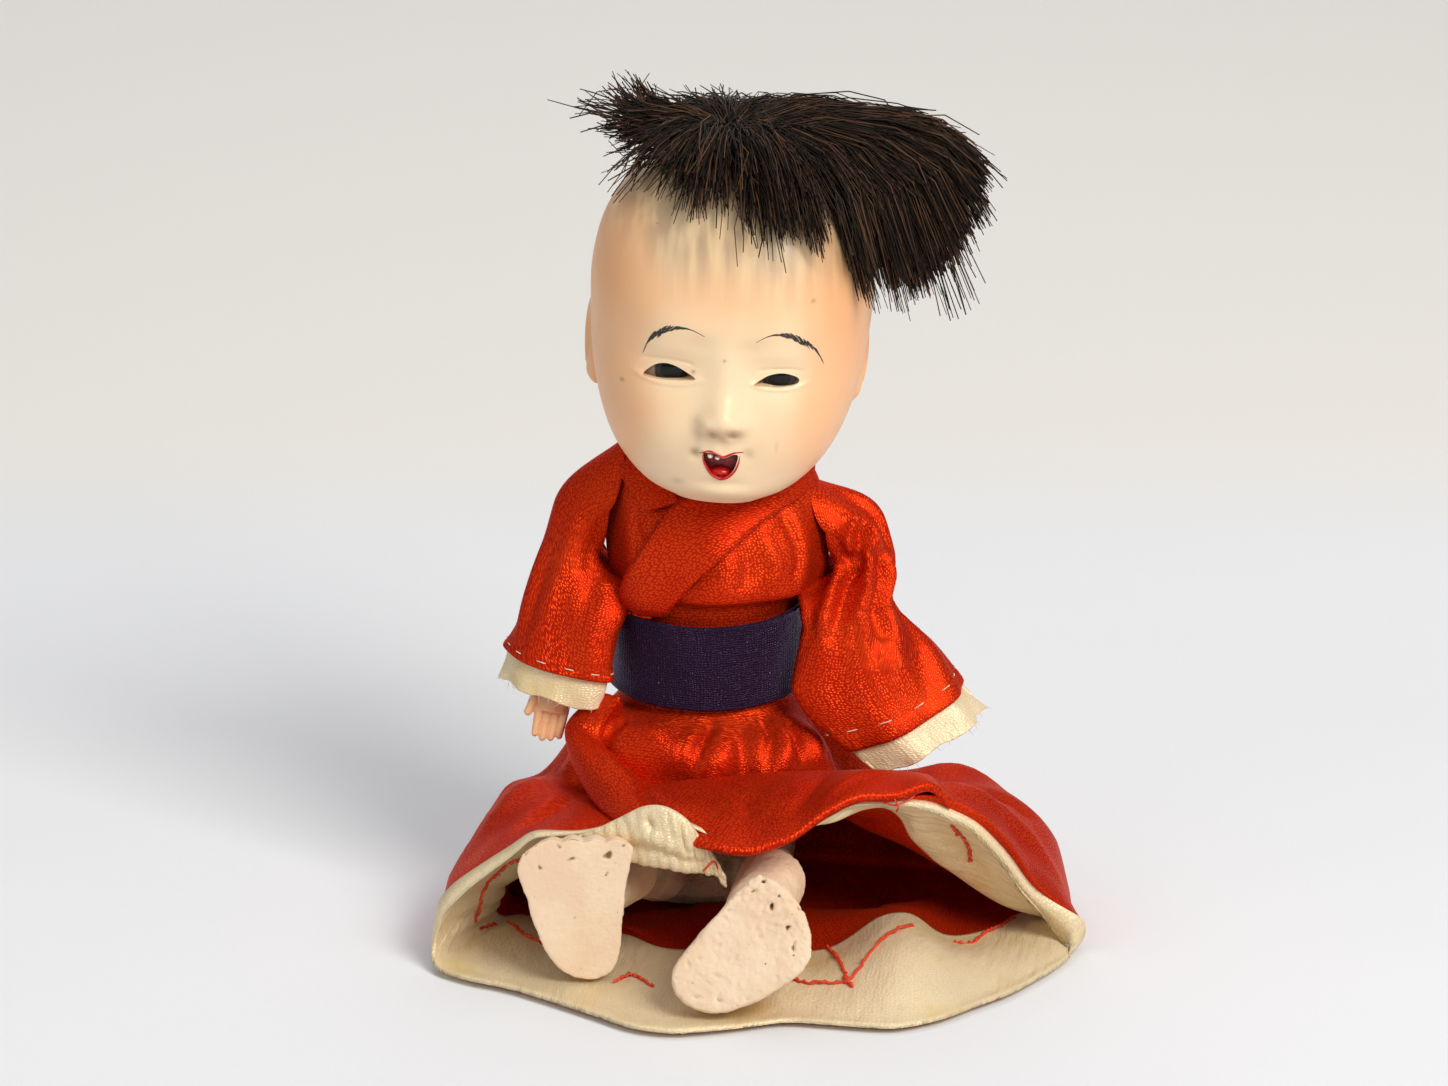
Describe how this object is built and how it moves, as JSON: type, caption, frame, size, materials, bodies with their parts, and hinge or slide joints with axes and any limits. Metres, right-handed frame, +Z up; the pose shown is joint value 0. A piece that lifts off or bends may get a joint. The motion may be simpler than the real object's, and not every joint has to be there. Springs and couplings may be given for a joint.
{
  "type": "seated ichimatsu doll",
  "caption": "Small seated baby doll with a moulded head, a tuft of dark hair, a red silk kimono with cream lining and a purple sash, legs out in front.",
  "frame": {"origin": "on the skirt's flat underside where it lies on the table, under the middle of the trunk", "axes": "+Z up, the doll faces -Y, +X is the doll's left"},
  "size_m": [0.0757, 0.0667, 0.1012],
  "materials": {
    "gofun_skin": "polished oyster-shell white over paste, satin",
    "gofun_foot": "rough, chalky shell white",
    "eye_glass": "polished dark glass",
    "black_hair": "coarse straight fibre, slight sheen",
    "body_paste": "unpainted paste",
    "limb_cloth": "plain cotton",
    "red_silk": "red-orange silk crepe, satin",
    "cream_silk": "cream silk, satin",
    "purple_ribbon": "ribbed ribbon, satin"
  },
  "bodies": {
    "root": {"head": "gofun_skin", "eye_right": "eye_glass", "eye_left": "eye_glass", "hair_tuft": "black_hair", "trunk": "body_paste", "upper_arm_right": "limb_cloth", "upper_arm_left": "limb_cloth", "forearm_right": "gofun_skin", "forearm_left": "gofun_skin", "thigh_right": "limb_cloth", "thigh_left": "limb_cloth", "lower_leg_right": "gofun_foot", "lower_leg_left": "gofun_foot", "kimono_bodice": "red_silk", "collar_band": "red_silk", "kimono_skirt": "red_silk", "hem_lining": "cream_silk", "sleeve_right": "red_silk", "sleeve_left": "red_silk", "sleeve_lining_right": "cream_silk", "sleeve_lining_left": "cream_silk", "obi_band": "purple_ribbon"}
  },
  "joints": []
}
